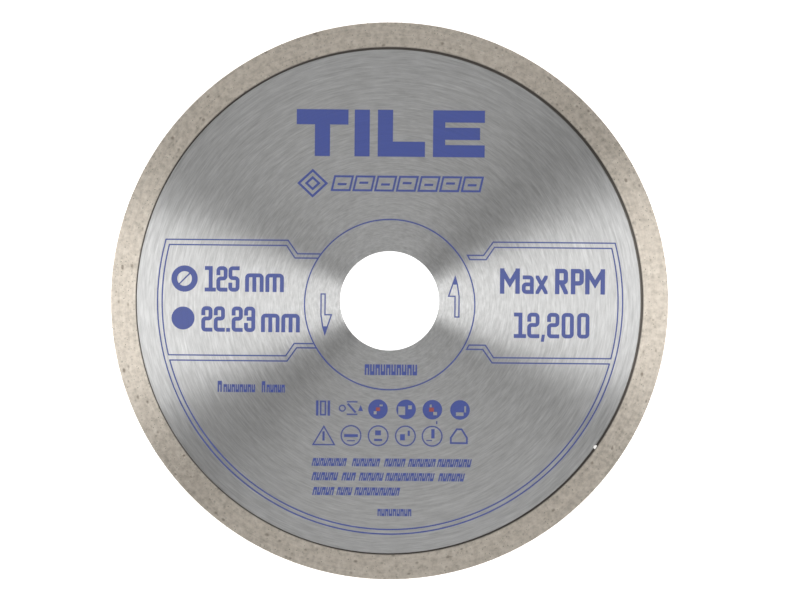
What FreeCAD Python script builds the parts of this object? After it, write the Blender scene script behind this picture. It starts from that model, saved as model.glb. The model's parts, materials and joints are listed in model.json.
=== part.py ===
"""Continuous-rim diamond blade for cutting ceramic tile, 125 mm across with a 22.23 mm bore.

The blade lies flat with its spin axis on Z. The origin is the centre of the bore at
mid thickness, +Z leaves the printed front face, and +Y points to the top of the print.
Lengths are millimetres and angles are degrees.

A steel disc carries a ring of sintered metal powder that is pressed and fired onto its
edge. Dovetail teeth round the disc's edge sit inside the ring and hold it against
centrifugal load. Diamond crystals are scattered all through the ring and do the cutting.
The front face is screen printed, and each group of marks is a thin film of ink.
"""

import FreeCAD
import Part

import math
import os

# ---- driving dimensions: the blade ----------------------------------------------------
BLADE_D = 125.0  # over the diamond ring
BORE_D = 22.23
CORE_T = 1.4  # ground steel disc
RIM_T = 2.0  # wider than the disc, so that the disc clears the walls of the cut
RIM_DEPTH = 5.65  # radial depth of ring that shows

BORE_CHAMFER = 0.1
RIM_CHAMFER = 0.15  # broken corners of the ring's running edge
FOOT_CHAMFER = 0.08  # broken corners of the ring's inner edge

# Relief groove turned in each face of the disc at the ring's foot.
GROOVE_W = 0.4
GROOVE_DEPTH = 0.15
GROOVE_FLOOR_SHARE = 0.7  # share of the width that is flat floor, the rest slopes up

# Dovetail teeth on the disc's edge, buried in the ring.
TOOTH_COUNT = 72
TOOTH_ROOT_IN = 0.75  # from the ring's inner edge out to the gullets
TOOTH_HEIGHT = 1.4
TOOTH_TIP_SHARE = 0.58  # share of the pitch that a tooth takes at its tip
TOOTH_ROOT_SHARE = 0.42  # and at its root, narrower, which locks it

# Diamond crystals: a sample of each layer of the many thousands in the real ring.
GRIT_PER_LAYER = 60
GRIT_SIZE = 0.36  # corner to corner of the largest crystal
GRIT_SIZE_SPREAD = 0.25  # share by which the smallest is smaller
GRIT_SINK = 0.08  # how far a surface crystal's centre lies under the dressed face
GRIT_MARGIN = 0.4  # from a crystal's centre to an edge of the ring or another layer

# ---- driving dimensions: the print ----------------------------------------------------
INK_T = 0.02
LINE_W = 0.3  # thin lines of the frame and the symbols
PRINT_TURN = -0.52  # the screen sat a little askew on this blade
FRAME_SHIFT = (0.12, -0.17)  # centre of the frame and all lettering from the spin axis
RING_SHIFT = (0.02, -0.84)  # centre of the bore ring and arrows from the spin axis
RING_R = 19.1

OUTER_ARC_R = 52.15
INNER_ARC_R = 51.12
# Half height and x of the corner of each side panel, and of the neck that joins it to the ring.
PANEL_OUTER = (13.54, 23.0)
NECK_OUTER = (10.54, 20.87)
PANEL_INNER = (12.37, 23.3)
NECK_INNER = (9.59, 21.43)
NECK_END_X = 14.0  # inside the bore ring, where the lines are trimmed
NECK_GAP_R = 20.2  # closed end of the right-hand necks, just outside the bore ring

TEXT_H = 5.7  # height of the data figures
TEXT_STROKE = 0.88
BOLD_STROKE = 1.0
CORNER_R = 0.55  # rounding of a letter's corners, at the middle of its pen
CORNER_STEPS = 5
SMALL_X_H = 4.15  # height of the lower-case letters of the units
HEADING_H = 10.5
HEADING_STROKE = 3.4

# ---- derived --------------------------------------------------------------------------
R_BLADE = BLADE_D / 2
R_BORE = BORE_D / 2
R_RIM_IN = R_BLADE - RIM_DEPTH
R_ROOT = R_RIM_IN + TOOTH_ROOT_IN
R_TIP = R_ROOT + TOOTH_HEIGHT
GOLDEN_TURN = 180.0 * (3 - math.sqrt(5))  # degrees between one crystal and the next
SILVER_SHARE = math.sqrt(2) - 1  # an irrational step, so radii and sizes never line up

V = FreeCAD.Vector
Z_AXIS = V(0, 0, 1)


def polar(radius, degrees, z=0.0):
    """Point at that radius and angle round the spin axis."""
    a = math.radians(degrees)
    return V(radius * math.cos(a), radius * math.sin(a), z)


def turned(section):
    """Solid of revolution about the spin axis from a closed (radius, z) outline."""
    points = [V(r, 0, z) for r, z in section]
    face = Part.Face(Part.makePolygon(points + points[:1]))
    return face.revolve(V(0, 0, 0), Z_AXIS, 360)


def arc(radius, start, end):
    """Circular edge from one angle to another, in the plane z = 0."""
    middle = (start + end) / 2
    return Part.Arc(polar(radius, start), polar(radius, middle), polar(radius, end)).toShape()


# ---- steel disc -----------------------------------------------------------------------


def toothed_outline():
    """Closed wire round the disc's edge: arcs at the tips and gullets, flanks that lean out."""
    pitch = 360.0 / TOOTH_COUNT
    half_tip = pitch * TOOTH_TIP_SHARE / 2
    half_root = pitch * TOOTH_ROOT_SHARE / 2
    edges = []
    for i in range(TOOTH_COUNT):
        mid = i * pitch
        next_root = mid + pitch - half_root
        edges.append(Part.makeLine(polar(R_ROOT, mid - half_root), polar(R_TIP, mid - half_tip)))
        edges.append(arc(R_TIP, mid - half_tip, mid + half_tip))
        edges.append(Part.makeLine(polar(R_TIP, mid + half_tip), polar(R_ROOT, mid + half_root)))
        edges.append(arc(R_ROOT, mid + half_root, next_root))
    return Part.Wire(edges)


def relief_groove(side):
    """Ring of metal turned away at the ring's foot, on the face at side = 1 or -1."""
    face_z = side * CORE_T / 2
    floor_z = side * (CORE_T / 2 - GROOVE_DEPTH)
    clear_z = side * CORE_T
    return turned(
        [
            (R_RIM_IN - GROOVE_W, clear_z),
            (R_RIM_IN - GROOVE_W, face_z),
            (R_RIM_IN - GROOVE_W * GROOVE_FLOOR_SHARE, floor_z),
            (R_RIM_IN, floor_z),
            (R_RIM_IN, clear_z),
        ]
    )


def steel_core():
    """Ground disc with a chamfered bore, a relief groove in each face and the locking teeth."""
    blank = Part.Face(toothed_outline()).extrude(V(0, 0, CORE_T))
    blank.translate(V(0, 0, -CORE_T / 2))
    c = BORE_CHAMFER
    h = CORE_T / 2
    bore = turned(
        [
            (0, -h - c),
            (R_BORE + 2 * c, -h - c),
            (R_BORE, -h + c),
            (R_BORE, h - c),
            (R_BORE + 2 * c, h + c),
            (0, h + c),
        ]
    )
    return blank.cut([bore, relief_groove(1), relief_groove(-1)])


# ---- sintered ring and its diamonds ---------------------------------------------------


def ring_envelope():
    """Outer shape of the sintered ring, before the disc's edge and the crystals are taken out."""
    h = RIM_T / 2
    c = RIM_CHAMFER
    f = FOOT_CHAMFER
    return turned(
        [
            (R_RIM_IN, -h + f),
            (R_RIM_IN + f, -h),
            (R_BLADE - c, -h),
            (R_BLADE, -h + c),
            (R_BLADE, h - c),
            (R_BLADE - c, h),
            (R_RIM_IN + f, h),
            (R_RIM_IN, h - f),
        ]
    )


def crystal(centre, index):
    """Octahedral diamond crystal at centre, its size and attitude set by its index."""
    reach = GRIT_SIZE * (1 - GRIT_SIZE_SPREAD * (index * SILVER_SHARE % 1)) / 2
    attitude = FreeCAD.Rotation(index * GOLDEN_TURN, index * 71.0, index * 113.0)
    corners = [V(1, 0, 0), V(0, 1, 0), V(-1, 0, 0), V(0, -1, 0), V(0, 0, 1), V(0, 0, -1)]
    p = [attitude.multVec(corner) * reach + centre for corner in corners]
    faces = []
    for a, b in ((0, 1), (1, 2), (2, 3), (3, 0)):
        faces.append(Part.Face(Part.makePolygon([p[a], p[b], p[4], p[a]])))
        faces.append(Part.Face(Part.makePolygon([p[b], p[a], p[5], p[b]])))
    return Part.makeSolid(Part.makeShell(faces))


def scattered(index, low, high):
    """Evenly scattered value between low and high for that crystal."""
    return low + (high - low) * (index * SILVER_SHARE % 1)


def face_grit(side):
    """Crystals that show in the ring's face at side = 1 or -1."""
    z = side * (RIM_T / 2 - GRIT_SINK)
    start = 40.0 * side
    inner = R_RIM_IN + GRIT_MARGIN
    outer = R_BLADE - GRIT_MARGIN
    return [
        crystal(polar(scattered(i, inner, outer), start + i * GOLDEN_TURN, z), i)
        for i in range(GRIT_PER_LAYER)
    ]


def edge_grit():
    """Crystals that show in the ring's outer, cutting edge."""
    top = RIM_T / 2 - GRIT_MARGIN
    return [
        crystal(polar(R_BLADE - GRIT_SINK, i * GOLDEN_TURN, scattered(i, -top, top)), i)
        for i in range(GRIT_PER_LAYER)
    ]


def buried_grit():
    """Crystals inside the ring beyond the teeth, which come to work as the ring wears."""
    inner = R_TIP + GRIT_MARGIN
    outer = R_BLADE - 2 * GRIT_MARGIN
    return [
        crystal(polar(scattered(i, inner, outer), 20.0 + i * GOLDEN_TURN), i)
        for i in range(GRIT_PER_LAYER)
    ]


def dressed(crystals, envelope):
    """Crystals ground level with the ring's faces, as dressing leaves them."""
    return Part.makeCompound([solid for c in crystals for solid in c.common(envelope).Solids])


# ---- printed marks --------------------------------------------------------------------
# Centre lines of each letter in a cell one wide and one high, as open or closed polylines.

LETTERS = {
    "0": [[(0, 0), (1, 0), (1, 1), (0, 1), (0, 0)]],
    "1": [[(0, 1), (0.55, 1), (0.55, 0)], [(0, 0), (1, 0)]],
    "2": [[(0, 0.76), (0, 1), (1, 1), (1, 0.52), (0, 0.52), (0, 0), (1, 0)]],
    "3": [[(0, 0.76), (0, 1), (1, 1), (1, 0), (0, 0), (0, 0.24)], [(0.35, 0.52), (1, 0.52)]],
    "5": [[(1, 1), (0, 1), (0, 0.54), (1, 0.54), (1, 0), (0, 0), (0, 0.24)]],
    "M": [[(0, 0), (0, 1)], [(1, 0), (1, 1)], [(0, 1), (0.5, 0.38), (1, 1)]],
    "R": [[(0, 0), (0, 1)], [(0, 1), (1, 1), (1, 0.46), (0, 0.46)], [(0.7, 0.25), (1, 0)]],
    "P": [[(0, 0), (0, 1)], [(0, 1), (1, 1), (1, 0.42), (0, 0.42)]],
    "a": [[(0.1, 1), (1, 1), (1, 0)], [(1, 0), (0, 0), (0, 0.52), (1, 0.52)]],
    "x": [[(0, 0), (1, 1)], [(0, 1), (1, 0)]],
    "m": [[(0, 0), (0, 1), (1, 1), (1, 0)], [(0.5, 1), (0.5, 0)]],
    "T": [[(0, 1), (1, 1)], [(0.5, 1), (0.5, 0)]],
    "I": [[(0, 0), (0, 1)]],
    "L": [[(0, 1), (0, 0), (1, 0)]],
    "E": [[(1, 1), (0, 1), (0, 0), (1, 0)], [(0, 0.5), (0.88, 0.5)]],
}
SQUARE_LETTERS = "1MxTILE"


def eased(points, radius):
    """The polyline with each square corner rounded to that radius, in short straight steps."""
    closed = points[0] == points[-1]
    ring = points[:-1] if closed else points
    out = []
    for i, p in enumerate(ring):
        before = (p - ring[i - 1]) if closed or i > 0 else None
        after = (ring[(i + 1) % len(ring)] - p) if closed or i < len(ring) - 1 else None
        if radius == 0 or before is None or after is None or abs(before * after) > 1e-6:
            out.append(p)
            continue
        into = before.normalize() * radius
        onward = after.normalize() * radius
        for step in range(CORNER_STEPS + 1):
            t = math.pi / 2 * step / CORNER_STEPS
            out.append(p - into * (1 - math.sin(t)) + onward * (1 - math.cos(t)))
    return out + out[:1] if closed else out


def side_points(points, offset):
    """The polyline moved sideways by offset, with mitred corners."""
    closed = points[0] == points[-1]
    ring = points[:-1] if closed else points
    out = []
    for i, p in enumerate(ring):
        runs = []
        if closed or i > 0:
            runs.append(p - ring[i - 1])
        if closed or i < len(ring) - 1:
            runs.append(ring[(i + 1) % len(ring)] - p)
        normals = [V(-r.y, r.x, 0).normalize() for r in runs]
        mitre = sum(normals, V()).normalize()
        out.append(p + mitre * (offset / (mitre * normals[0])))
    return out


def stroke(points, width):
    """Flat face of that width along a polyline, with square ends."""
    left = side_points(points, width / 2)
    right = side_points(points, -width / 2)
    if points[0] != points[-1]:
        outline = left + right[::-1]
        return Part.Face(Part.makePolygon(outline + outline[:1]))
    sides = [Part.Face(Part.makePolygon(s + s[:1])) for s in (left, right)]
    sides.sort(key=lambda face: face.Area)
    return sides[1].cut(sides[0])


def inked(face):
    """Solid film of ink over a flat mark."""
    return face.extrude(V(0, 0, INK_T))


def joined(faces):
    """Solid film of ink over flat marks that overlap."""
    films = [inked(face) for face in faces]
    return films[0].multiFuse(films[1:]).removeSplitter()


def past_end(end, inner, pen):
    """Where a line's square end is cut: half a pen on, and further on a slant, which the box trims."""
    run = end - inner
    slanted = abs(run.x * run.y) > 1e-6
    return end + run.normalize() * pen * (1.2 if slanted else 0.5)


def letter(name, x, y, width, height, pen):
    """Letter that fills the box starting at (x, y), drawn with that width of pen."""
    radius = 0.0 if name in SQUARE_LETTERS else CORNER_R
    strokes = []
    for line in LETTERS[name]:
        cell = [(x + pen / 2 + u * (width - pen), y + pen / 2 + v * (height - pen)) for u, v in line]
        corners = [V(px, py, 0) for px, py in cell]
        points = eased(corners, radius)
        if corners[0] != corners[-1]:
            points[0] = past_end(corners[0], corners[1], pen)
            points[-1] = past_end(corners[-1], corners[-2], pen)
        strokes.append(stroke(points, pen))
    whole = joined(strokes) if len(strokes) > 1 else inked(strokes[0])
    return whole.common(inked(block(x, y, width, height)))


def disc(x, y, radius):
    """Round face."""
    return Part.Face(Part.Wire(Part.makeCircle(radius, V(x, y, 0))))


def hoop(x, y, radius, width=LINE_W):
    """Round line whose middle is at that radius."""
    return disc(x, y, radius + width / 2).cut(disc(x, y, radius - width / 2))


def patch(corners):
    """Flat face with those (x, y) corners."""
    points = [V(x, y, 0) for x, y in corners]
    return Part.Face(Part.makePolygon(points + points[:1]))


def block(x, y, width, height, lean=0.0):
    """Box with its lower left corner at (x, y), its top pushed along by lean."""
    top = y + height
    return patch([(x, y), (x + width, y), (x + width + lean, top), (x + lean, top)])


def outline_of(corners, width=LINE_W):
    """Closed thin line through the corners."""
    points = [V(x, y, 0) for x, y in corners]
    return stroke(points + points[:1], width)


def arc_band(radius, start, end):
    """Thin line along an arc round the frame's centre."""
    outer = radius + LINE_W / 2
    inner = radius - LINE_W / 2
    edges = [
        arc(outer, start, end),
        Part.makeLine(polar(outer, end), polar(inner, end)),
        arc(inner, start, end),
        Part.makeLine(polar(inner, start), polar(outer, start)),
    ]
    return Part.Face(Part.Wire(Part.__sortEdges__(edges)))


def panel_edge(panel, neck, side, up, radius):
    """Points of one long edge of a side panel, from inside the bore ring out to the arc."""
    height, corner_x = panel
    neck_height, neck_x = neck
    arc_x = math.sqrt(radius**2 - height**2)
    return [
        V(side * NECK_END_X, up * neck_height, 0),
        V(side * neck_x, up * neck_height, 0),
        V(side * corner_x, up * height, 0),
        V(side * arc_x, up * height, 0),
    ]


def framed(edges, radius, start, end):
    """Thin line of two panel edges and the arc that joins their outer ends, clear of the bore ring."""
    corners = [disc(edge[-1].x, edge[-1].y, LINE_W / 2) for edge in edges]
    strokes = [stroke(edge, LINE_W) for edge in edges]
    line = joined(strokes + corners + [arc_band(radius, start, end)])
    right_half = block(0, -NECK_GAP_R, NECK_GAP_R, 2 * NECK_GAP_R)
    gap = disc(0, 0, NECK_GAP_R - LINE_W / 2).common(right_half)
    return line.cut([inked(ring_area()), inked(gap)])


def long_line(up, radius):
    """Line out of the bore ring, round one panel edge, along the foot and back in on the right."""
    edges = [panel_edge(PANEL_OUTER, NECK_OUTER, side, up, radius) for side in (-1, 1)]
    rise = math.degrees(math.asin(up * PANEL_OUTER[0] / radius))
    return framed(edges, radius, 180 - rise, 360 + rise)


def panel_line(side):
    """Inner outline of one side panel."""
    edges = [panel_edge(PANEL_INNER, NECK_INNER, side, up, INNER_ARC_R) for up in (-1, 1)]
    rise = math.degrees(math.asin(PANEL_INNER[0] / INNER_ARC_R))
    middle = 90 - 90 * side
    return framed(edges, INNER_ARC_R, middle - rise, middle + rise)


def closed_panel_line():
    """Inner outline of the right panel, with short arcs that close the ends of its two necks."""
    low = math.degrees(math.asin(NECK_INNER[0] / NECK_GAP_R))
    high = math.degrees(math.asin((NECK_OUTER[0] - LINE_W / 2) / NECK_GAP_R))
    ends = [inked(arc_band(NECK_GAP_R, low, high)), inked(arc_band(NECK_GAP_R, -high, -low))]
    line = panel_line(1).multiFuse(ends).removeSplitter()
    return line.cut([long_line(1, OUTER_ARC_R), long_line(-1, INNER_ARC_R)])


def ring_area():
    """Disc inside the bore ring's line, which trims the lines that run up to it."""
    x = RING_SHIFT[0] - FRAME_SHIFT[0]
    y = RING_SHIFT[1] - FRAME_SHIFT[1]
    return disc(x, y, RING_R + LINE_W / 2)


def rotation_arrow(turn, out, along):
    """Outlined half-barbed arrow beside the bore, pointing the way the blade runs. It is moved out
    from the bore and along its run before it is turned into place."""
    shaft = [(14.65, 2.0), (14.65, -2.65), (15.55, -2.65), (15.55, 2.0)]
    tip = [(15.15, 4.6), (14.65, 6.3), (14.08, 4.6)]
    mark = joined([outline_of([*shaft, *tip, (13.2, 2.0)]), patch(tip)])
    mark.translate(V(out, along, 0))
    mark.rotate(V(0, 0, 0), Z_AXIS, turn)
    return mark


def size_data():
    """Diameter sign with the blade's size, and a dot with the bore's size."""
    slash = stroke([V(-47.3, 3.6, 0), V(-44.95, 5.95, 0)], LINE_W)
    sign = joined([disc(-46.13, 4.76, 2.95).cut(disc(-46.13, 4.76, 1.65)), slash])
    marks = [sign, disc(-46.4, -4.1, 2.58)]
    for name, x in (("1", -41.6), ("2", -39.0), ("5", -36.3)):
        marks.append(letter(name, x, 1.9, 2.5, TEXT_H, TEXT_STROKE))
    for name, x in (("2", -42.3), ("2", -39.5), ("2", -35.5), ("3", -32.7)):
        marks.append(letter(name, x, -7.1, 2.5, TEXT_H, TEXT_STROKE))
    marks.append(block(-36.7, -7.1, 0.85, 0.85))
    for x, y in ((-32.55, 1.9), (-28.0, 1.9), (-28.9, -7.1), (-24.35, -7.1)):
        marks.append(letter("m", x, y, 4.15, SMALL_X_H, TEXT_STROKE))
    return marks


def speed_data():
    """Highest speed in turns a minute."""
    marks = [letter("M", 24.6, 2.0, 4.45, TEXT_H, BOLD_STROKE)]
    marks.append(letter("a", 29.5, 2.0, 2.7, SMALL_X_H, TEXT_STROKE))
    marks.append(letter("x", 32.6, 2.0, 2.7, SMALL_X_H, TEXT_STROKE))
    marks.append(letter("R", 36.95, 2.0, 2.9, TEXT_H, BOLD_STROKE))
    marks.append(letter("P", 40.5, 2.0, 2.9, TEXT_H, BOLD_STROKE))
    marks.append(letter("M", 43.7, 2.0, 4.45, TEXT_H, BOLD_STROKE))
    for name, x in (("1", 27.8), ("2", 30.8), ("2", 35.25), ("0", 38.5), ("0", 42.0)):
        marks.append(letter(name, x, -7.9, 2.75, TEXT_H, TEXT_STROKE))
    marks.append(block(33.85, -8.7, 0.7, 1.6, 0.25))
    return marks


def heading():
    """Block letters that say what the blade cuts."""
    marks = []
    pen = HEADING_STROKE
    for name, x, width in (("T", -21.3, 11.6), ("I", -8.3, pen), ("L", -3.1, 10.6)):
        marks.append(letter(name, x, 32.5, width, HEADING_H, pen))
    marks.append(letter("E", 9.3, 32.5, 11.6, HEADING_H, 0.8 * pen))
    return marks


def emblem():
    """Lozenge in outline round a smaller one, and a band of leaning boxes beside them."""
    marks = []
    for half_w, half_h in ((3.1, 2.9), (1.4, 1.3)):
        points = [(half_w, 0), (0, half_h), (-half_w, 0), (0, -half_h)]
        marks.append(outline_of([(x - 17.6, y + 26.4) for x, y in points], 0.5))
    for i in range(7):
        x = -13.3 + i * 4.86
        marks.append(outline_of([(x, 24.9), (x + 4.0, 24.9), (x + 4.7, 28.0), (x + 0.7, 28.0)], 0.45))
        marks.append(block(x + 1.25, 26.0 + 0.35 * (i % 2), 2.0, 0.5, 0.1))
    return marks


def solid_symbols():
    """Row of filled round marks with plain cut-outs, and two small marks in front of them."""
    marks = [block(-16.4, -25.7, 0.55, 3.4), block(-13.8, -25.7, 0.55, 3.4)]
    marks.append(outline_of([(-15.35, -25.5), (-14.3, -25.5), (-14.3, -22.5), (-15.35, -22.5)], 0.35))
    marks += [hoop(-10.5, -24.0, 0.65), block(-9.5, -22.7, 2.4, 0.3), block(-9.5, -25.5, 2.4, 0.3)]
    marks.append(stroke([V(-9.3, -22.95, 0), V(-7.5, -24.95, 0)], 0.45))
    marks.append(patch([(-6.95, -24.6), (-5.85, -24.6), (-6.4, -23.2)]))
    # Each mark's x, then its cut-outs as the x, y, width and height of a box from its centre.
    cut_outs = {
        -2.5: [(-0.95, -1.15, 0.65, 0.7), (0.35, 0.65, 0.7, 0.4), (-0.45, -0.4, 0.9, 0.8)],
        3.8: [(-1.75, -1.25, 1.55, 1.9), (0.45, 0.05, 0.85, 0.85)],
        9.7: [(0.2, -1.25, 0.85, 0.75), (-0.6, 0.55, 0.45, 0.6), (-0.75, -0.45, 1.1, 0.9)],
        15.9: [(-0.9, -1.35, 1.7, 0.8), (0.95, -0.55, 0.4, 1.4)],
    }
    for x, boxes in cut_outs.items():
        marks.append(disc(x, -24.15, 2.2).cut([block(x + u, v - 24.15, w, h) for u, v, w, h in boxes]))
    marks.append(block(10.55, -27.4, 0.3, 0.7))
    return marks


def line_symbols():
    """Row of outlined round and three-cornered marks with plain bars in them."""
    marks = [outline_of([(-17.0, -32.2), (-12.2, -32.2), (-14.6, -28.1)])]
    marks.append(block(-14.9, -31.3, 0.5, 2.1))
    for x in (-8.5, -2.4, 3.7, 9.7):
        marks.append(hoop(x, -30.1, 2.2))
    # Inside the rings: x, y, width and height of each bar.
    for bar in (
        (-10.05, -30.45, 3.1, 0.65),
        (-9.4, -31.4, 1.8, 0.25),
        (-3.1, -30.0, 1.3, 1.1),
        (-3.3, -31.3, 1.8, 0.5),
        (2.5, -31.1, 1.1, 1.4),
        (4.2, -30.1, 0.5, 1.2),
        (9.5, -30.6, 0.75, 2.1),
        (8.4, -31.2, 1.3, 0.25),
    ):
        marks.append(block(*bar))
    bell = [(13.9, -31.6), (17.5, -31.6), (17.5, -30.4), (16.3, -28.5), (15.2, -28.5), (13.9, -30.4)]
    marks.append(outline_of(bell, 0.4))
    return marks


def red_marks():
    """Red patch in two of the filled symbols."""
    return [block(-2.95, -24.55, 0.9, 0.8), block(8.95, -24.6, 1.1, 0.9)]


def small_word(x, y, length, height, pitch, lean=0.0):
    """Row of blocks, each slotted from above or below, that stands for a word too small to read."""
    count = max(2, round(length / pitch))
    step = length / count
    width = 0.86 * step
    slot = 0.24 * step
    word = []
    for i in range(count):
        left = x + i * step
        foot = y + 0.35 * height if i % 2 else y - 0.1 * height
        drift = lean * (foot - y) / height
        cut = block(left + (width - slot) / 2 + drift, foot, slot, 0.75 * height, 0.75 * lean)
        word.append(block(left, y, width, height, lean).cut(cut))
    return word


def note_lines():
    """Three lines of small print."""
    lines = [
        (-37.0, [(-17.3, 7.7), (-8.3, 6.2), (-1.1, 4.7), (4.3, 6.1), (10.8, 7.6)]),
        (-40.2, [(-17.3, 5.8), (-10.6, 3.1), (-6.7, 5.4), (-0.8, 10.9), (11.1, 5.8)]),
        (-43.5, [(-17.1, 4.8), (-11.7, 3.4), (-7.7, 10.1)]),
    ]
    return [
        mark
        for y, words in lines
        for x, length in words
        for mark in small_word(x, y, length, 1.8, 0.9, 0.4)
    ]


def small_codes():
    """Code under the bore, code at the foot and the faint note at the left."""
    marks = small_word(-5.55, -16.5, 11.9, 2.4, 1.19)
    marks += small_word(-2.4, -48.1, 7.7, 1.6, 0.85)
    for x, low_word, tall in ((-38.5, 7.2, 1.1), (-28.6, 4.2, 0.9)):
        marks += small_word(x, -20.6, 2 * tall, 2.5, tall)[:1]
        marks += small_word(x + 1.2 * tall, -20.6, low_word, 1.75, 0.9)
    return marks


def film(marks, shift):
    """Ink on the front face: flat marks given their thickness, then all turned and put in place."""
    solids = []
    for mark in marks:
        if mark.Solids:
            solids += mark.Solids
        else:
            solids += inked(mark).Solids
    ink = Part.makeCompound(solids)
    ink.rotate(V(0, 0, 0), Z_AXIS, PRINT_TURN)
    ink.translate(V(*shift, CORE_T / 2))
    return ink


def printed_marks():
    """Every group of marks, by name."""
    arrows = [rotation_arrow(0, 0.0, 0.0), rotation_arrow(180, -0.16, 0.4)]
    return {
        "print_bore_ring": film([hoop(0, 0, RING_R)], RING_SHIFT),
        "print_rotation_arrows": film(arrows, RING_SHIFT),
        "print_frame_outer_line": film([long_line(1, OUTER_ARC_R)], FRAME_SHIFT),
        "print_frame_lower_line": film([long_line(-1, INNER_ARC_R)], FRAME_SHIFT),
        "print_left_panel_line": film([panel_line(-1)], FRAME_SHIFT),
        "print_right_panel_line": film([closed_panel_line()], FRAME_SHIFT),
        "print_size_data": film(size_data(), FRAME_SHIFT),
        "print_speed_data": film(speed_data(), FRAME_SHIFT),
        "print_heading": film(heading(), FRAME_SHIFT),
        "print_emblem": film(emblem(), FRAME_SHIFT),
        "print_solid_symbols": film(solid_symbols(), FRAME_SHIFT),
        "print_line_symbols": film(line_symbols(), FRAME_SHIFT),
        "print_red_marks": film(red_marks(), FRAME_SHIFT),
        "print_note_lines": film(note_lines(), FRAME_SHIFT),
        "print_small_codes": film(small_codes(), FRAME_SHIFT),
    }


# ---- the whole blade ------------------------------------------------------------------


def build():
    """Every piece of the blade, by name."""
    core = steel_core()
    envelope = ring_envelope()
    grit = {
        "diamond_grit_front": dressed(face_grit(1), envelope),
        "diamond_grit_back": dressed(face_grit(-1), envelope),
        "diamond_grit_edge": dressed(edge_grit(), envelope),
        "diamond_grit_buried": dressed(buried_grit(), envelope),
    }
    crystals = [solid for layer in grit.values() for solid in layer.Solids]
    rim = envelope.cut([core, *crystals])
    return {"steel_core": core, "diamond_rim": rim, **grit, **printed_marks()}


os.makedirs("parts", exist_ok=True)
for node, shape in build().items():
    shape.exportStep(f"parts/{node}.step")
    volume = sum(solid.Volume for solid in shape.Solids)
    print(f"{node}: {len(shape.Solids)} solids, {volume:.3f} mm3, valid {shape.isValid()}")
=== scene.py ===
"""A 125 mm continuous-rim diamond blade for tile, lying flat with its printed face up.

Built in the order the real one is made: the ground steel disc, the sintered ring on its edge
with a burr that was left on it, the diamonds in the ring, the screen print, then the place where
it is shown.
"""
import json
import math

import bmesh
import bpy
import numpy as np
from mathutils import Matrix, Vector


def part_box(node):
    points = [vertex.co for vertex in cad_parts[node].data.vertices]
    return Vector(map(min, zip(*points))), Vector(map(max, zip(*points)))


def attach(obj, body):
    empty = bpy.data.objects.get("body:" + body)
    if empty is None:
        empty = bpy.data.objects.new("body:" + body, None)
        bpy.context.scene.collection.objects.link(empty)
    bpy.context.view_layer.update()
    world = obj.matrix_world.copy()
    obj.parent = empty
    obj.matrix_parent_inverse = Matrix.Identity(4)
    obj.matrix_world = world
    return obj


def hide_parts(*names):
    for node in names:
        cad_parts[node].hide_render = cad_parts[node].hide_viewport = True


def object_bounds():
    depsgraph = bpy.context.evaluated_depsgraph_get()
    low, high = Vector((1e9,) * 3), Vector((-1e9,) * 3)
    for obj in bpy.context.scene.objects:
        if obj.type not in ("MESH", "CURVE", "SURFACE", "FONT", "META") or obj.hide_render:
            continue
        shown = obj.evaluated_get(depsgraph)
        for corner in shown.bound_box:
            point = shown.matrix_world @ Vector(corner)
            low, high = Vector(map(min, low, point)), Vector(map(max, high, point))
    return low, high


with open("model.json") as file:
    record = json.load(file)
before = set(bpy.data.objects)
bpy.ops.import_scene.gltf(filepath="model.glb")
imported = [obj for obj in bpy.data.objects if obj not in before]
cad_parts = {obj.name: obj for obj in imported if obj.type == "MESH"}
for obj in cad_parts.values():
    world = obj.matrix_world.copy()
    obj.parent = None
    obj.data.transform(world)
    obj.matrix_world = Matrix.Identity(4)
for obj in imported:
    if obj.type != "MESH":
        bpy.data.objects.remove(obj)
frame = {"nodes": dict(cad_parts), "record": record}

MM = 0.001
CAD_LOW, CAD_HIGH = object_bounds()

# ---- steel disc ---------------------------------------------------------------------------
# The disc is cut from hardened sheet steel and ground flat on a turntable, which leaves fine
# circular lines round the bore. Dovetail teeth on its edge are buried in the sintered ring,
# and a shallow groove is turned in each face at the ring's foot.

R_BLADE = float(CAD_HIGH[0])
R_BORE = frame["record"]["mounts"][0]["dims"]["r_mm"] * MM
CORE_TOP = float(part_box("steel_core")[1][2])
TOOTH_TIP_R = float(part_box("steel_core")[1][0])
TOOTH_HEIGHT = 1.4 * MM
TOOTH_COUNT = 72
TOOTH_SHARE = 0.5  # share of the pitch that a tooth takes at half height
FOOT_R = 56.85 * MM  # inner edge of the ring, where it meets the disc
GROOVE_WIDTH = 0.39 * MM
GROOVE_SHADOW_SWING = 0.27 * MM  # the groove, and its painted dark with it, is wider on one side, standing in for the ring step's shadow that falls wider there
GROOVE_WIDE_AT = math.radians(30)
GROOVE_DEPTH = 0.15 * MM
BORE_CHAMFER = 0.1 * MM
GROOVE_FLOOR_SHARE = 0.75  # share of the groove's width that is flat floor
EDGE_EASE = 0.012 * MM  # tiny rounding at each turned corner
CORNER_CUT = 0.3  # how far a corner's middle row stands back, as a share of its easing
RING_STEPS = 1440  # divisions round the blade, twenty to each tooth


def angles_round(steps):
    """Angles of a full turn, evenly spaced, with no repeat at the seam."""
    return np.arange(steps) * (2 * math.pi / steps)


def tooth_radius(angle):
    """Edge radius of the toothed disc: tip radius where the pitch's fraction is inside the tooth,
    root radius elsewhere, with a short straight flank between them."""
    share = (angle * TOOTH_COUNT / (2 * math.pi) + 0.5) % 1.0
    into_tooth = TOOTH_SHARE / 2 - np.abs(share - 0.5)
    flank = TOOTH_COUNT / RING_STEPS  # one step round the blade, as a share of the pitch
    return TOOTH_TIP_R - TOOTH_HEIGHT * np.clip(0.5 - into_tooth / flank, 0.0, 1.0)


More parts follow.
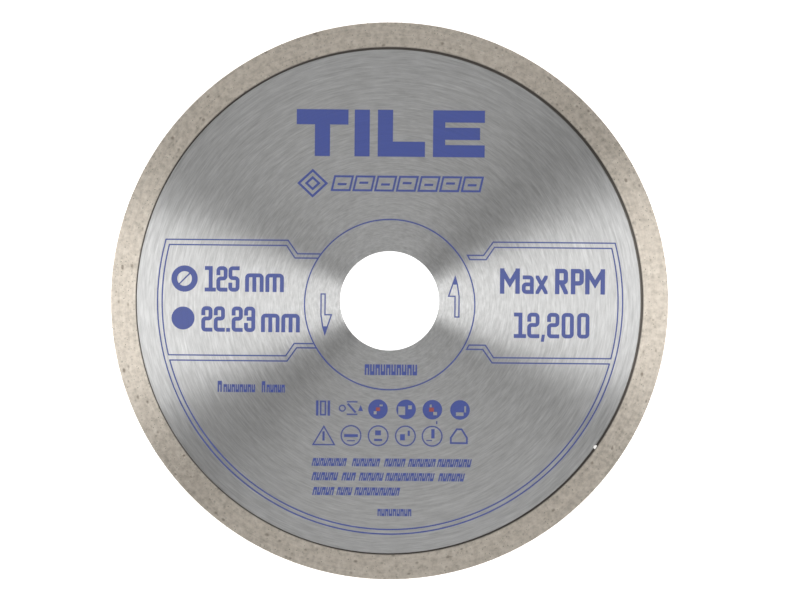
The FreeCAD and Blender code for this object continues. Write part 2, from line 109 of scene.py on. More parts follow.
def wrapped_faces(turns, rows):
    """Quads of a grid that closes on itself both ways: corner (i, j) joins (i+1, j) and (i, j+1)."""
    i, j = np.meshgrid(np.arange(turns), np.arange(rows), indexing="ij")
    i_next, j_next = (i + 1) % turns, (j + 1) % rows
    corners = [i * rows + j, i_next * rows + j, i_next * rows + j_next, i * rows + j_next]
    return np.stack(corners, axis=-1).reshape(-1, 4)


def turned_grid(radius, height, angle):
    """Points (radius cos angle, radius sin angle, height), for arrays indexed by angle and row."""
    return np.stack([radius * np.cos(angle), radius * np.sin(angle), height], axis=-1)


def add_piece(name, points, faces, sharp_degrees):
    """Mesh piece from an array of points and one of faces that all have as many corners."""
    mesh = bpy.data.meshes.new(name)
    mesh.vertices.add(len(points))
    mesh.vertices.foreach_set("co", points.astype(np.float32).ravel())
    mesh.loops.add(faces.size)
    mesh.loops.foreach_set("vertex_index", faces.astype(np.int32).ravel())
    mesh.polygons.add(len(faces))
    mesh.polygons.foreach_set("loop_start", np.arange(len(faces), dtype=np.int32) * faces.shape[1])
    mesh.update(calc_edges=True)
    mesh.shade_smooth()
    mesh.set_sharp_from_angle(angle=math.radians(sharp_degrees))
    piece = bpy.data.objects.new(name, mesh)
    bpy.context.scene.collection.objects.link(piece)
    return piece


def mark_points(piece, name, values):
    """Number kept on each point of the piece, for its material to read by name."""
    mark = piece.data.attributes.new(name, "FLOAT", "POINT")
    mark.data.foreach_set("value", values.astype(np.float32).ravel())


def core_profile():
    """Closed outline of the disc as rows of (radius, height, groove share, at teeth): up the bore,
    out along the front face, down into the groove, round the edge, and the same back along the
    other face. The groove share says how far into the groove's width, from the ring's foot, the
    row lies; the last flag marks the rows at the toothed edge."""
    floor = CORE_TOP - GROOVE_DEPTH
    c = BORE_CHAMFER
    e = EDGE_EASE
    face = [
        (R_BORE, 0.0, 0.0, 0),
        (R_BORE, CORE_TOP - c - e, 0.0, 0),
        (R_BORE + CORNER_CUT * e, CORE_TOP - c, 0.0, 0),
        (R_BORE + c - e, CORE_TOP - CORNER_CUT * e, 0.0, 0),
        (R_BORE + c + e, CORE_TOP, 0.0, 0),
        (0.5 * (R_BORE + FOOT_R), CORE_TOP, 0.0, 0),
        (FOOT_R - e, CORE_TOP, 1.0, 0),
        (FOOT_R + 0.5 * e, CORE_TOP - 0.5 * e, 1.0, 0),
        (FOOT_R, floor, GROOVE_FLOOR_SHARE, 0),
        (FOOT_R, floor, 0.0, 0),
        (FOOT_R, CORE_TOP, 0.0, 0),
        (FOOT_R, CORE_TOP, 0.0, 1),
    ]
    back = [(r, -z, share, at_teeth) for r, z, share, at_teeth in face[:0:-1]]
    return np.array(face + back)


def steel_disc_grid():
    """Points of the disc, each profile row swept round with its groove's width and teeth following
    the angle, and each point's share of dark paint, partly firing scale and partly painted shadow of
    the ring's step: 1 on the groove's floor and wall, 0 elsewhere."""
    angle = angles_round(RING_STEPS)[:, None]
    radius, height, share, at_teeth = (column[None, :] for column in core_profile().T)
    width = GROOVE_WIDTH + GROOVE_SHADOW_SWING * np.cos(angle - GROOVE_WIDE_AT)
    r = np.where(at_teeth == 1, tooth_radius(angle), radius - share * width)
    points = turned_grid(r, np.broadcast_to(height, r.shape), np.broadcast_to(angle, r.shape))
    in_groove = (radius == FOOT_R) & (at_teeth == 0)
    return points, np.broadcast_to(in_groove, r.shape)


disc_points, disc_scale_and_shadow = steel_disc_grid()
steel_disc = add_piece(
    "steel_disc", disc_points.reshape(-1, 3), wrapped_faces(*disc_points.shape[:2])[:, ::-1], 25
)
# The groove's mark carries painted shadow of the ring's step as well as firing scale.
mark_points(steel_disc, "scale_and_shadow", disc_scale_and_shadow)
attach(steel_disc, "root")
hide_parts("steel_core")


def ring_grain_group():
    """Node group: grain that runs round the spin axis. Each point is read as (radius, cosine,
    sine), with the radius stretched far more, so that noise comes out as long circular streaks."""
    group = bpy.data.node_groups.new("ring_grain", "ShaderNodeTree")
    face = group.interface
    face.new_socket("Streaks per metre", in_out="INPUT", socket_type="NodeSocketFloat")
    face.new_socket("Streak length", in_out="INPUT", socket_type="NodeSocketFloat")
    face.new_socket("Streaks", in_out="OUTPUT", socket_type="NodeSocketFloat")
    nodes, links = group.nodes, group.links
    source = nodes.new("NodeGroupInput")
    result = nodes.new("NodeGroupOutput")
    place = nodes.new("ShaderNodeTexCoord")
    flat = nodes.new("ShaderNodeVectorMath")
    flat.operation = "MULTIPLY"
    flat.inputs[1].default_value = (1, 1, 0)
    links.new(place.outputs["Object"], flat.inputs[0])
    radius = nodes.new("ShaderNodeVectorMath")
    radius.operation = "LENGTH"
    links.new(flat.outputs[0], radius.inputs[0])
    heading = nodes.new("ShaderNodeVectorMath")
    heading.operation = "NORMALIZE"
    links.new(flat.outputs[0], heading.inputs[0])
    turn = nodes.new("ShaderNodeVectorMath")
    turn.operation = "SCALE"
    links.new(heading.outputs[0], turn.inputs[0])
    links.new(source.outputs["Streak length"], turn.inputs["Scale"])
    across = nodes.new("ShaderNodeMath")
    across.operation = "MULTIPLY"
    links.new(radius.outputs["Value"], across.inputs[0])
    links.new(source.outputs["Streaks per metre"], across.inputs[1])
    apart = nodes.new("ShaderNodeSeparateXYZ")
    links.new(turn.outputs[0], apart.inputs[0])
    together = nodes.new("ShaderNodeCombineXYZ")
    links.new(apart.outputs["X"], together.inputs["X"])
    links.new(apart.outputs["Y"], together.inputs["Y"])
    links.new(across.outputs[0], together.inputs["Z"])
    fine = nodes.new("ShaderNodeTexNoise")
    fine.inputs["Scale"].default_value = 1.0
    fine.inputs["Detail"].default_value = 4.0
    fine.inputs["Roughness"].default_value = 0.65
    links.new(together.outputs[0], fine.inputs["Vector"])
    links.new(fine.outputs["Fac"], result.inputs["Streaks"])
    return group


RING_GRAIN = ring_grain_group()


def new_material(name):
    """New material: itself, its nodes, its Principled shader and the function that links sockets."""
    material = bpy.data.materials.new(name)
    material.use_nodes = True
    tree = material.node_tree
    return material, tree.nodes, tree.nodes["Principled BSDF"], tree.links.new


def add_grain(nodes, per_metre, length):
    """Circular grain with that many streaks a metre; a larger length number makes them shorter."""
    grain = nodes.new("ShaderNodeGroup")
    grain.node_tree = RING_GRAIN
    grain.inputs["Streaks per metre"].default_value = per_metre
    grain.inputs["Streak length"].default_value = length
    return grain.outputs["Streaks"]


def add_ramp(nodes, link, value, stops):
    """Colour ramp of (position, colour) stops, read at value."""
    ramp = nodes.new("ShaderNodeValToRGB")
    marks = ramp.color_ramp.elements
    while len(marks) < len(stops):
        marks.new(0.5)
    for mark, (position, colour) in zip(marks, stops):
        mark.position = position
        mark.color = (*colour, 1.0)
    link(value, ramp.inputs["Fac"])
    return ramp.outputs["Color"]


def add_range(nodes, link, value, low, high, out_low, out_high):
    """Value carried from one range to another and kept inside it."""
    stretch = nodes.new("ShaderNodeMapRange")
    limits = {"From Min": low, "From Max": high, "To Min": out_low, "To Max": out_high}
    for name, number in limits.items():
        stretch.inputs[name].default_value = number
    link(value, stretch.inputs["Value"])
    return stretch.outputs["Result"]


def add_mix(nodes, link, factor, first, second, blend="MIX"):
    """Colour mixed from first to second by factor. Either colour may be a socket or three numbers."""
    mix = nodes.new("ShaderNodeMix")
    mix.data_type = "RGBA"
    mix.blend_type = blend
    for socket, value in ((mix.inputs[0], factor), (mix.inputs[6], first), (mix.inputs[7], second)):
        if isinstance(value, bpy.types.NodeSocket):
            link(value, socket)
        elif isinstance(value, tuple):
            socket.default_value = (*value, 1.0)
        else:
            socket.default_value = value
    return mix.outputs[2]


def add_shade(nodes, link, colour, value, stops):
    """Colour times a brightness read at value from (position, brightness) stops."""
    shade = add_ramp(nodes, link, value, [(position, (level,) * 3) for position, level in stops])
    return add_mix(nodes, link, 1.0, colour, shade, "MULTIPLY")


def add_bump(nodes, link, height, strength, distance):
    """Bump normal from a height value."""
    bump = nodes.new("ShaderNodeBump")
    bump.inputs["Strength"].default_value = strength
    bump.inputs["Distance"].default_value = distance
    link(height, bump.inputs["Height"])
    return bump.outputs["Normal"]


def read_mark(nodes, name):
    """Number that the piece's points carry under that name."""
    mark = nodes.new("ShaderNodeAttribute")
    mark.attribute_name = name
    return mark.outputs["Fac"]


def shine_round_axis(nodes, link, shader, amount):
    """Stretched shine of a turned surface: the tangent at each point is the spin axis crossed with
    the point's place, which runs round the blade."""
    shader.inputs["Anisotropic"].default_value = amount
    shader.inputs["Anisotropic Rotation"].default_value = 0.25
    place = nodes.new("ShaderNodeTexCoord")
    round_axis = nodes.new("ShaderNodeVectorMath")
    round_axis.operation = "CROSS_PRODUCT"
    round_axis.inputs[0].default_value = (0, 0, 1)
    link(place.outputs["Object"], round_axis.inputs[1])
    tangent = nodes.new("ShaderNodeVectorMath")
    tangent.operation = "NORMALIZE"
    link(round_axis.outputs[0], tangent.inputs[0])
    link(tangent.outputs[0], shader.inputs["Tangent"])


SCALE_AND_SHADOW_DARK = (0.165, 0.15, 0.135)  # dark of firing scale in the groove and on the ring's foot, partly painted shadow of the ring's step
BRUSH_DEPTH = 0.02 * MM


def ground_steel():
    """Bright steel with circular grinding lines, and a dark groove that is partly firing scale and
    partly painted shadow of the ring's step.
    """
    material, nodes, shader, link = new_material("ground_steel")
    grain = add_grain(nodes, 4200.0, 7.0)
    strokes = add_grain(nodes, 1700.0, 11.0)
    greys = [(0.25, (0.50, 0.50, 0.495)), (0.5, (0.60, 0.60, 0.595)), (0.75, (0.70, 0.70, 0.695))]
    colour = add_ramp(nodes, link, grain, greys)
    colour = add_shade(nodes, link, colour, strokes, [(0.3, 0.86), (0.5, 1.0), (0.7, 1.14)])
    # Painted shadow: the groove's floor and wall are painted dark, partly as firing scale and partly
    # as the shadow of the ring's step.
    colour = add_mix(nodes, link, read_mark(nodes, "scale_and_shadow"), colour, SCALE_AND_SHADOW_DARK)
    link(colour, shader.inputs["Base Color"])
    rough = add_range(nodes, link, grain, 0.3, 0.7, 0.38, 0.45)
    link(rough, shader.inputs["Roughness"])
    link(add_bump(nodes, link, strokes, 1.0, BRUSH_DEPTH), shader.inputs["Normal"])
    shader.inputs["Metallic"].default_value = 1.0
    shine_round_axis(nodes, link, shader, 1.0)
    return material


steel_disc.data.materials.append(ground_steel())

# ---- sintered ring ------------------------------------------------------------------------
# Bronze powder mixed with diamond is pressed round the toothed disc and fired, then both faces
# and the edge are dressed true on a turning wheel. It stays a little open: small pores show,
# and shallow scratches from the dressing run round it.

RIM_TOP = float(CAD_HIGH[2])
SKIN_SINK = 0.025 * MM  # bond lies this far under the tips of the diamonds
EDGE_CHAMFER = 0.15 * MM
FOOT_CHAMFER = 0.08 * MM
CELL = 0.9 * MM  # one pore or diamond to each cell of this size
PORE_SHARE = 0.13  # share of the cells that hold an open pore
DIAMOND_SHARE = 0.42  # cells between this and the pores' share hold a diamond instead
PORE_DEPTH = 0.12 * MM
PORE_DRAG = 1.6  # how much longer a pore is round the ring than across it
SMALLEST_PORE = 0.13 * MM  # half length across the ring
LARGEST_PORE = 0.4 * MM
PATCH_CELLS = (5, 3)  # cells round and across in a patch where pores are denser or sparser
PATCH_DENSITY = (0.3, 1.9)
WAVINESS = 0.006 * MM
WAVE_SIZE = 1.1 * MM
WAVE_SEED = 5
LATTICE_ROWS = 64  # rows of random heights across the ring before the waviness repeats
FACE_ROWS = 26
EDGE_ROWS = 9
RIM_SEED = 11


def rim_profile():
    """Closed (radius, height, slot flag) outline of the ring: up the foot, out along the front face,
    down the edge, back along the other face, and round the slot that grips the disc. Flagged rows
    follow the disc's teeth."""
    top = RIM_TOP - SKIN_SINK
    outer = R_BLADE - SKIN_SINK
    face_r = np.linspace(FOOT_R + FOOT_CHAMFER, outer - EDGE_CHAMFER, FACE_ROWS)
    edge_z = np.linspace(top - EDGE_CHAMFER, -top + EDGE_CHAMFER, EDGE_ROWS)
    rows = [(FOOT_R, CORE_TOP, 0), (FOOT_R, top - FOOT_CHAMFER, 0)]
    rows += [(r, top, 0) for r in face_r]
    cut = CORNER_CUT * EDGE_CHAMFER
    rows += [(outer - cut, top - cut, 0)]
    rows += [(outer, z, 0) for z in edge_z]
    rows += [(outer - cut, -top + cut, 0)]
    rows += [(r, -top, 0) for r in face_r[::-1]]
    rows += [(FOOT_R, -top + FOOT_CHAMFER, 0), (FOOT_R, -CORE_TOP, 0)]
    rows += [(0.0, -CORE_TOP, 1), (0.0, CORE_TOP, 1)]
    return np.array(rows)


def arc_lengths(profile):
    """Distance along the outline from its first point to each point."""
    steps = np.hypot(*np.diff(profile[:, :2], axis=0).T)
    return np.concatenate([[0.0], np.cumsum(steps)])


def cell_table(columns, rows):
    """Random place, size and kind of the pore in each cell, the same on every run. Most pores are
    small and a few are large, and they gather in patches of a few cells each way."""
    random = np.random.default_rng(RIM_SEED)
    round_it, across_it = PATCH_CELLS
    patches = random.uniform(*PATCH_DENSITY, (columns // round_it + 1, rows // across_it + 1))
    patch = np.kron(patches, np.ones(PATCH_CELLS))[:columns, :rows]
    spread = LARGEST_PORE - SMALLEST_PORE
    return {
        "across": random.uniform(0.1, 0.9, (columns, rows)),
        "along": random.uniform(0.1, 0.9, (columns, rows)),
        "size": SMALLEST_PORE + spread * random.random((columns, rows)) ** 3,
        "kind": random.random((columns, rows)) / patch,
    }


def pore_field(u, v, table):
    """How deep in a pore each point lies, from 0 outside to 1 at the bottom: for each of the nine
    cells round the point, one less the squared distance to that cell's pore over its radius. The
    dressing has dragged the pores out, so they are longer round the ring than across it."""
    columns, rows = table["size"].shape
    i = np.floor(u / CELL).astype(int)
    j = np.floor(v / CELL).astype(int)
    depth = np.zeros(np.broadcast(u, v).shape)
    for di in (-1, 0, 1):
        for dj in (-1, 0, 1):
            column = (i + di) % columns
            row = np.clip(j + dj, 0, rows - 1)
            du = u - (i + di + table["across"][column, row]) * CELL
            dv = v - (j + dj + table["along"][column, row]) * CELL
            size = table["size"][column, row]
            here = np.clip(1.0 - ((du / PORE_DRAG) ** 2 + dv**2) / size**2, 0.0, 1.0)
            here = here * size / LARGEST_PORE
            depth = np.maximum(depth, np.where(table["kind"][column, row] < PORE_SHARE, here, 0.0))
    return depth


def lattice_noise(u, v, size, seed):
    """Smooth noise from -1 to 1: random values on a lattice, eased from one to the next."""
    columns = int(round(RIM_ROUND / size))
    table = np.random.default_rng(seed).uniform(-1.0, 1.0, (columns, LATTICE_ROWS))
    a, b = u / size, v / size
    i, j = np.floor(a).astype(int), np.floor(b).astype(int)
    s, t = a - i, b - j
    s, t = s * s * (3 - 2 * s), t * t * (3 - 2 * t)
    i, i_next = i % columns, (i + 1) % columns
    j, j_next = j % LATTICE_ROWS, (j + 1) % LATTICE_ROWS
    near = table[i, j] * (1 - s) + table[i_next, j] * s
    far = table[i, j_next] * (1 - s) + table[i_next, j_next] * s
    return near * (1 - t) + far * t


PROFILE = rim_profile()
ALONG = arc_lengths(PROFILE)
RIM_COLUMNS = int(round(2 * math.pi * 0.5 * (FOOT_R + R_BLADE) / CELL))
RIM_ROUND = RIM_COLUMNS * CELL
RIM_CELLS = cell_table(RIM_COLUMNS, int(ALONG[-1] / CELL) + 2)


def outward(profile):
    """Unit normal of each profile row, from the run between its two neighbours."""
    run = np.roll(profile[:, :2], -1, axis=0) - np.roll(profile[:, :2], 1, axis=0)
    normal = np.stack([-run[:, 1], run[:, 0]], axis=1)
    return normal / np.linalg.norm(normal, axis=1)[:, None]


def sintered_ring():
    """Grid of the ring: the outline swept round, each point pushed in by its pore's depth and by a
    low waviness. Slot rows take the radius of the disc's teeth instead."""
    angle = angles_round(RING_STEPS)[:, None]
    radius, height, in_slot = (column[None, :] for column in PROFILE.T)
    u = angle / (2 * math.pi) * RIM_ROUND
    v = ALONG[None, :]
    dressed = (np.abs(height) > CORE_TOP) | (radius > FOOT_R + CELL)
    pore = pore_field(u, v, RIM_CELLS) * dressed
    waves = WAVINESS * (1 + lattice_noise(u, v, WAVE_SIZE, WAVE_SEED)) * dressed
    push = pore * PORE_DEPTH + waves
    inward = -outward(PROFILE)
    radius = np.where(in_slot == 1, tooth_radius(angle), radius)
    radius = radius + inward[None, :, 0] * push
    height = np.broadcast_to(height, radius.shape) + inward[None, :, 1] * push
    points = turned_grid(radius, height, np.broadcast_to(angle, radius.shape))
    return points, pore


def foot_scale_and_shadow():
    """How dark each row of the ring is painted, partly firing scale and partly painted shadow of
    its step: all of the foot's wall, and half of the first face row.
    """
    radius = PROFILE[:, 0]
    return np.where(radius == FOOT_R, 1.0, np.where(radius == FOOT_R + FOOT_CHAMFER, 0.5, 0.0))


rim_points, rim_pore = sintered_ring()
sintered_rim = add_piece(
    "sintered_rim", rim_points.reshape(-1, 3), wrapped_faces(*rim_points.shape[:2])[:, ::-1], 35
)
mark_points(sintered_rim, "pore", rim_pore)
# The ring's foot wall is painted dark: partly firing scale, partly painted shadow of the step.
mark_points(sintered_rim, "scale_and_shadow", np.tile(foot_scale_and_shadow(), RING_STEPS))
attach(sintered_rim, "root")
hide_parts("diamond_rim")


def add_noise(nodes, link, scale, detail=2.0, roughness=0.5):
    """Noise that stays put on the piece, with that many lumps a metre."""
    place = nodes.new("ShaderNodeTexCoord")
    noise = nodes.new("ShaderNodeTexNoise")
    noise.inputs["Scale"].default_value = scale
    noise.inputs["Detail"].default_value = detail
    noise.inputs["Roughness"].default_value = roughness
    link(place.outputs["Object"], noise.inputs["Vector"])
    return noise.outputs["Fac"]


def add_specks(nodes, link, scale, strength):
    """Small round specks, one in a few of the cells of a Voronoi pattern: the cells whose random
    number is high, faded out with the distance from the cell's middle."""
    place = nodes.new("ShaderNodeTexCoord")
    cells = nodes.new("ShaderNodeTexVoronoi")
    cells.inputs["Scale"].default_value = scale
    link(place.outputs["Object"], cells.inputs["Vector"])
    number = nodes.new("ShaderNodeSeparateColor")
    link(cells.outputs["Color"], number.inputs["Color"])
    both = nodes.new("ShaderNodeMath")
    both.operation = "MULTIPLY"
    link(add_range(nodes, link, number.outputs["Red"], 0.90, 0.94, 0.0, strength), both.inputs[0])
    link(add_range(nodes, link, cells.outputs["Distance"], 0.2, 0.42, 1.0, 0.0), both.inputs[1])
    return both.outputs[0]


BOND_COLOURS = [
    (0.28, (0.53, 0.479, 0.409)),
    (0.5, (0.72, 0.652, 0.564)),
    (0.74, (0.88, 0.812, 0.72)),
]
SPECK_COLOUR = (0.22, 0.19, 0.15)
# Painted shade: the pores are darkened by their depth, as shade falls in them.
PORE_SHADE_COLOUR = (0.20, 0.165, 0.13)
BOND_ROUGHNESS_DEPTH = 0.04 * MM


def sintered_bond():
    """Dressed bronze bond: beige grey, mottled, with faint circular scratches, pores darkened by
    painted shade, and a foot painted dark, partly firing scale and partly painted shadow.
    """
    material, nodes, shader, link = new_material("sintered_bond")
    grain = add_grain(nodes, 1900.0, 6.0)
    mottle = add_noise(nodes, link, 850.0, 4.0, 0.62)
    colour = add_ramp(nodes, link, mottle, BOND_COLOURS)
    colour = add_shade(nodes, link, colour, grain, [(0.3, 0.88), (0.5, 1.0), (0.75, 1.07)])
    colour = add_mix(nodes, link, add_specks(nodes, link, 1300.0, 0.35), colour, SPECK_COLOUR)
    # Painted shade in the pores: the deeper a pore, the darker it is painted.
    pore_shade = add_range(nodes, link, read_mark(nodes, "pore"), 0.05, 0.7, 0.0, 0.62)
    colour = add_mix(nodes, link, pore_shade, colour, PORE_SHADE_COLOUR)
    # Painted shadow: the foot wall darkens, partly as firing scale and partly as the step's shade.
    colour = add_mix(nodes, link, read_mark(nodes, "scale_and_shadow"), colour, SCALE_AND_SHADOW_DARK)
    link(colour, shader.inputs["Base Color"])
    rough = add_range(nodes, link, mottle, 0.3, 0.7, 0.44, 0.56)
    link(rough, shader.inputs["Roughness"])
    link(add_bump(nodes, link, mottle, 0.25, BOND_ROUGHNESS_DEPTH), shader.inputs["Normal"])
    shader.inputs["Metallic"].default_value = 0.9
    shine_round_axis(nodes, link, shader, 0.95)
    return material


sintered_rim.data.materials.append(sintered_bond())

# ---- burr ---------------------------------------------------------------------------------
# A sliver of bond that the dressing tool pushed over the ring's foot and left hanging above the
# groove. It is still joined to the ring along one side, and its torn edge curls up; its near-white
# colour is a painted glint.

BURR_ANGLE = math.radians(-35.4)
BURR_REACH = 0.8 * MM  # how far it stands in from the ring's foot
BURR_HALF_LENGTH = 0.5 * MM
BURR_THICK = 0.05 * MM
BURR_CURL = 0.16 * MM  # height of the torn edge over the joined one
BURR_TAPER = 0.35  # share of its reach that is lost at its two ends
BURR_NICKS = ((0.10, 9), (0.06, 23))  # size, as a share of the reach, and pace of its ragged edge
BURR_GRID = (24, 14)  # half the points round its outline, and rows from its lower to upper side
WELD_DISTANCE = 0.0001 * MM


def burr_shell():
    """Flattened ball bent into a sliver. With the two angles of a ball, a = cos turn cos tilt runs
    from the torn edge (-1) to the joined one (1), b = sin turn cos tilt runs along the foot, and
    sin tilt times half the thickness is the height over the middle. The middle rises with the
    square of the way in from the foot, and the reach falls off towards both ends and is ragged."""
    columns, rows = BURR_GRID
    turn = angles_round(2 * columns)[:, None]
    tilt = np.linspace(-0.5, 0.5, rows)[None, :] * math.pi
    a = np.cos(turn) * np.cos(tilt)
    b = np.sin(turn) * np.cos(tilt)
    side = np.broadcast_to(np.sin(tilt), a.shape)
    way_in = 0.5 * (1 - a)
    ragged = 1 - BURR_TAPER * b**2 + sum(size * np.sin(pace * b) for size, pace in BURR_NICKS)
    inward = FOOT_R + FOOT_CHAMFER - way_in * BURR_REACH * ragged
    across = b * BURR_HALF_LENGTH
    middle = RIM_TOP - SKIN_SINK - BURR_CURL - BURR_THICK + way_in**2 * BURR_CURL
    height = middle + side * 0.5 * BURR_THICK
    x = inward * math.cos(BURR_ANGLE) - across * math.sin(BURR_ANGLE)
    y = inward * math.sin(BURR_ANGLE) + across * math.cos(BURR_ANGLE)
    return np.stack([x, y, height], axis=-1)


def tube_faces(turns, rows):
    """Quads of a grid that closes on itself one way only."""
    quads = wrapped_faces(turns, rows).reshape(turns, rows, 4)
    return quads[:, :-1].reshape(-1, 4)


burr_points = burr_shell()
edge_burr = add_piece(
    "edge_burr", burr_points.reshape(-1, 3), tube_faces(*burr_points.shape[:2]), 40
)
welded = bmesh.new()  # closes the two ends, where a whole row falls on one point
welded.from_mesh(edge_burr.data)
bmesh.ops.remove_doubles(welded, verts=welded.verts, dist=WELD_DISTANCE)
welded.to_mesh(edge_burr.data)
welded.free()
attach(edge_burr, "root")


def glint_painted_bond():
    """Bond of the burr, coloured near white as a painted glint, a little uneven."""
    material, nodes, shader, link = new_material("glint_painted_bond")
    uneven = add_noise(nodes, link, 5000.0)
    # Painted highlight: the near-white colour stands in for the burr's glint.
    colour = add_ramp(nodes, link, uneven, [(0.3, (0.90, 0.88, 0.82)), (0.6, (1.0, 0.99, 0.96))])
    link(colour, shader.inputs["Base Color"])
    link(add_range(nodes, link, uneven, 0.3, 0.7, 0.4, 0.6), shader.inputs["Roughness"])
    shader.inputs["Metallic"].default_value = 0.2
    return material


edge_burr.data.materials.append(glint_painted_bond())

# ---- diamonds -----------------------------------------------------------------------------
# Synthetic diamond crystals stand in the bond all over the ring. Dressing leaves those at the
# surface almost level with it, with flat tops that show as small dark or glinting specks.

DIAMOND_REACH = (0.11 * MM, 0.20 * MM)  # centre to corner, smallest and largest
DIAMOND_SINK = 0.35  # share of its reach that a crystal's centre lies under the tips' surface
FOOT_MARGIN = 0.2 * MM  # no crystal's centre is nearer than this to the ring's foot
EDGE_MARGIN = 0.1 * MM  # or than this to the front face's outer corner

OCTAHEDRON = np.array([(1, 0, 0), (0, 1, 0), (-1, 0, 0), (0, -1, 0), (0, 0, 1), (0, 0, -1)], float)
OCTAHEDRON_FACES = np.array(
    [(0, 1, 4), (1, 2, 4), (2, 3, 4), (3, 0, 4), (1, 0, 5), (2, 1, 5), (3, 2, 5), (0, 3, 5)]
)


def random_turns(random, count):
    """Rotation matrices spread evenly over all attitudes, from random unit quaternions."""
    quaternion = random.normal(size=(count, 4))
    w, x, y, z = quaternion.T / np.linalg.norm(quaternion, axis=1)
    rows = [
        [1 - 2 * (y * y + z * z), 2 * (x * y - z * w), 2 * (x * z + y * w)],
        [2 * (x * y + z * w), 1 - 2 * (x * x + z * z), 2 * (y * z - x * w)],
        [2 * (x * z - y * w), 2 * (y * z + x * w), 1 - 2 * (x * x + y * y)],
    ]
    return np.moveaxis(np.array(rows), -1, 0)


def crystals_at(radius, height, angle, seed):
    """Points and faces of one octahedron at each place, each turned its own way and sized at
    random, with any corner that would stand out of the blade pulled in level with its surface."""
    random = np.random.default_rng(seed)
    count = len(angle)
    reach = random.uniform(*DIAMOND_REACH, count)
    corners = OCTAHEDRON @ random_turns(random, count) * reach[:, None, None]
    on_edge = np.abs(height) < RIM_TOP - CELL / 2
    sink = DIAMOND_SINK * reach
    r = np.where(on_edge, R_BLADE - sink, radius)
    z = np.where(on_edge, height, np.sign(height) * (RIM_TOP - sink))
    spun = corners + np.stack([r, np.zeros(count), z], axis=-1)[:, None, :]
    spun[..., 2] = np.clip(spun[..., 2], -RIM_TOP, RIM_TOP)
    spun[..., 0] = np.minimum(spun[..., 0], np.sqrt(R_BLADE**2 - spun[..., 1] ** 2))
    cosine, sine = np.cos(angle)[:, None], np.sin(angle)[:, None]
    x = spun[..., 0] * cosine - spun[..., 1] * sine
    y = spun[..., 0] * sine + spun[..., 1] * cosine
    points = np.stack([x, y, spun[..., 2]], axis=-1).reshape(-1, 3)
    faces = (OCTAHEDRON_FACES[None] + np.arange(count)[:, None, None] * 6).reshape(-1, 3)
    return points, faces


def diamond_cells(first_along, last_along):
    """Radius, height and angle of the diamonds between two distances along the outline."""
    column, row = np.nonzero((RIM_CELLS["kind"] >= PORE_SHARE) & (RIM_CELLS["kind"] < DIAMOND_SHARE))
    u = (column + RIM_CELLS["across"][column, row]) * CELL
    v = (row + RIM_CELLS["along"][column, row]) * CELL
    inside = (v > first_along) & (v < last_along)
    angle = u[inside] / RIM_ROUND * 2 * math.pi
    radius, height = (np.interp(v[inside], ALONG, PROFILE[:, k]) for k in (0, 1))
    return radius, height, angle


def diamond():
    """Yellow grey synthetic diamond: clear to the eye, dark against the bond, with sharp glints."""
    material, nodes, shader, link = new_material("diamond")
    tints = [(0.35, (0.22, 0.20, 0.155)), (0.5, (0.40, 0.37, 0.285)), (0.65, (0.78, 0.74, 0.62))]
    colour = add_ramp(nodes, link, add_noise(nodes, link, 900.0), tints)
    link(colour, shader.inputs["Base Color"])
    shader.inputs["Roughness"].default_value = 0.18
    shader.inputs["IOR"].default_value = 2.4
    return material


DIAMOND = diamond()
FRONT_START = 2  # row of the ring's outline where its front face starts
FRONT_END = FRONT_START + FACE_ROWS - 1
EDGE_START = FRONT_END + 2  # a corner's middle row lies between
EDGE_END = EDGE_START + EDGE_ROWS - 1
BACK_START = EDGE_END + 2
BACK_END = BACK_START + FACE_ROWS - 1
front_run = (ALONG[FRONT_START] + FOOT_MARGIN, ALONG[FRONT_END] - EDGE_MARGIN)
edge_run = (ALONG[EDGE_START], ALONG[EDGE_END])
back_run = (ALONG[BACK_START], ALONG[BACK_END] - FOOT_MARGIN)
for where, run, seed in (("front", front_run, 21), ("edge", edge_run, 22), ("back", back_run, 23)):
    crystals = add_piece(f"diamonds_{where}", *crystals_at(*diamond_cells(*run), seed), 10)
    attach(crystals, "root")
    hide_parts(f"diamond_grit_{where}")
    crystals.data.materials.append(DIAMOND)
frame["nodes"]["diamond_grit_buried"].data.materials.clear()
frame["nodes"]["diamond_grit_buried"].data.materials.append(DIAMOND)

# ---- screen print -------------------------------------------------------------------------
# The ground face is printed through a screen with a thin coat of blue ink, and two of the small
# signs get a spot of red. The films are the CAD model's own, under an ink that lets a trace of
# the ground steel's shine through.

BLUE = (0.054, 0.082, 0.31)
RED = (0.33, 0.07, 0.06)


def screen_ink(name, base):
    """Thin ink: mottled where it went on unevenly, with a trace of the steel's grain and shine."""
    material, nodes, shader, link = new_material(name)
    grain = add_grain(nodes, 2600.0, 2.2)
    mottle = add_noise(nodes, link, 700.0, 3.0)
    thin = tuple(0.9 * c + 0.02 for c in base)
    thick = tuple(0.93 * c for c in base)
    colour = add_ramp(nodes, link, mottle, [(0.32, thick), (0.55, base), (0.78, thin)])
    colour = add_shade(nodes, link, colour, grain, [(0.3, 0.93), (0.5, 1.0), (0.7, 1.07)])
    link(colour, shader.inputs["Base Color"])
    link(add_range(nodes, link, mottle, 0.3, 0.7, 0.38, 0.5), shader.inputs["Roughness"])
    link(add_range(nodes, link, mottle, 0.4, 0.8, 0.06, 0.22), shader.inputs["Metallic"])
    link(add_bump(nodes, link, grain, 0.08, BRUSH_DEPTH), shader.inputs["Normal"])
    shader.inputs["Specular IOR Level"].default_value = 0.8
    shine_round_axis(nodes, link, shader, 0.95)
    return material


BLUE_INK = screen_ink("blue_ink", BLUE)
RED_INK = screen_ink("red_ink", RED)
for name, node in frame["nodes"].items():
    if name.startswith("print_"):
        node.data.materials.clear()
        node.data.materials.append(RED_INK if name == "print_red_marks" else BLUE_INK)

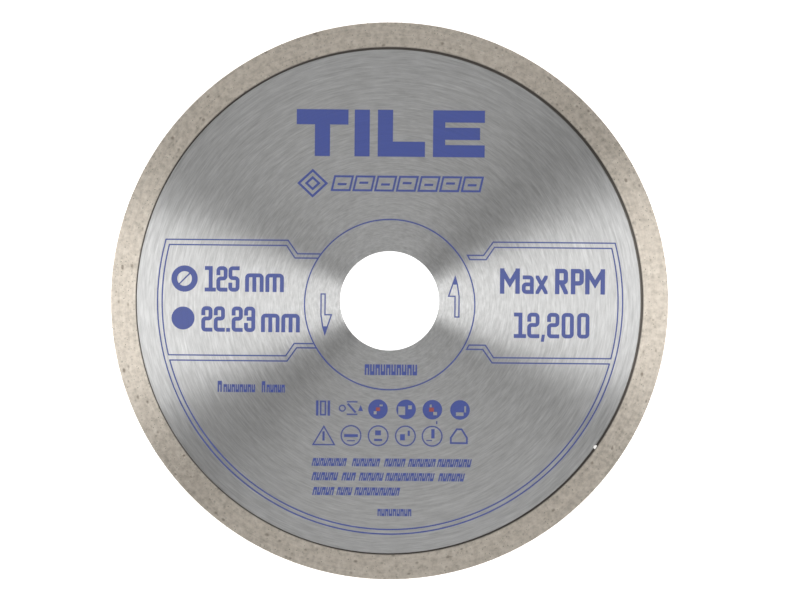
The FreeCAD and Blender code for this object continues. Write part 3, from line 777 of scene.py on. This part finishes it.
# ---- place where it is shown --------------------------------------------------------------
# The blade lies on a white sheet. A soft box stands at each side, and a wider one beyond the
# top and beyond the foot of the print, all facing it from halfway up.


def white_sheet():
    """White surface that glows a little, so that it stays clear of shadow; see-through from below."""
    material, nodes, shader, link = new_material("white_sheet")
    shader.inputs["Base Color"].default_value = (0.9, 0.9, 0.9, 1.0)
    shader.inputs["Roughness"].default_value = 0.9
    shader.inputs["Emission Color"].default_value = (1.0, 1.0, 1.0, 1.0)
    shader.inputs["Emission Strength"].default_value = 0.8
    clear = nodes.new("ShaderNodeBsdfTransparent")
    side = nodes.new("ShaderNodeNewGeometry")
    either = nodes.new("ShaderNodeMixShader")
    link(side.outputs["Backfacing"], either.inputs["Fac"])
    link(shader.outputs["BSDF"], either.inputs[1])
    link(clear.outputs["BSDF"], either.inputs[2])
    link(either.outputs["Shader"], nodes["Material Output"].inputs["Surface"])
    return material


SHEET_HALF = 3.0
SHEET_GAP = 0.2 * MM  # between the sheet and the back of the ring
sheet_corners = np.array([(-1, -1, 0), (1, -1, 0), (1, 1, 0), (-1, 1, 0)]) * SHEET_HALF
sheet_corners[:, 2] = float(CAD_LOW[2]) - SHEET_GAP
sheet = add_piece("sheet", sheet_corners, np.array([[0, 1, 2, 3]]), 30)
sheet.data.materials.append(white_sheet())

world = bpy.data.worlds.new("room")
world.use_nodes = True
world.node_tree.nodes["Background"].inputs["Color"].default_value = (1.0, 1.0, 1.0, 1.0)
world.node_tree.nodes["Background"].inputs["Strength"].default_value = 0.36
bpy.context.scene.world = world


LIGHT_DISTANCE = 1.8
LIGHT_ZENITH = math.radians(45)
LIGHT_HEIGHT = 0.8


def soft_box(name, azimuth, width, watts):
    """Flat light facing the blade from that azimuth, at the distance and tilt that all share."""
    light = bpy.data.lights.new(name, "AREA")
    light.shape = "RECTANGLE"
    light.size = width
    light.size_y = LIGHT_HEIGHT
    light.energy = watts
    box = bpy.data.objects.new(name, light)
    a = math.radians(azimuth)
    away = LIGHT_DISTANCE * math.sin(LIGHT_ZENITH)
    box.location = (away * math.cos(a), away * math.sin(a), LIGHT_DISTANCE * math.cos(LIGHT_ZENITH))
    box.rotation_euler = (LIGHT_ZENITH, 0.0, a + math.pi / 2)
    bpy.context.scene.collection.objects.link(box)


SIDE_WIDTH = 1.06
END_WIDTH = 2.9
soft_box("light_right", 2, SIDE_WIDTH, 9.3)
soft_box("light_left", 181, SIDE_WIDTH, 11.1)
soft_box("light_top", 97, END_WIDTH, 4.4)
soft_box("light_foot", 277, END_WIDTH, 8.4)

LENS = 200.0
SENSOR = 36.0
VIEW_WIDTH = 179.4 * MM  # width of the view at the printed face
VIEW_MIDDLE = (2.34 * MM, 0.19 * MM)
camera_data = bpy.data.cameras.new("camera")
camera_data.lens = LENS
camera_data.sensor_width = SENSOR
camera = bpy.data.objects.new("camera", camera_data)
camera.location = (*VIEW_MIDDLE, CORE_TOP + VIEW_WIDTH * LENS / SENSOR)
bpy.context.scene.collection.objects.link(camera)
bpy.context.scene.camera = camera
bpy.context.scene.view_settings.view_transform = "Standard"
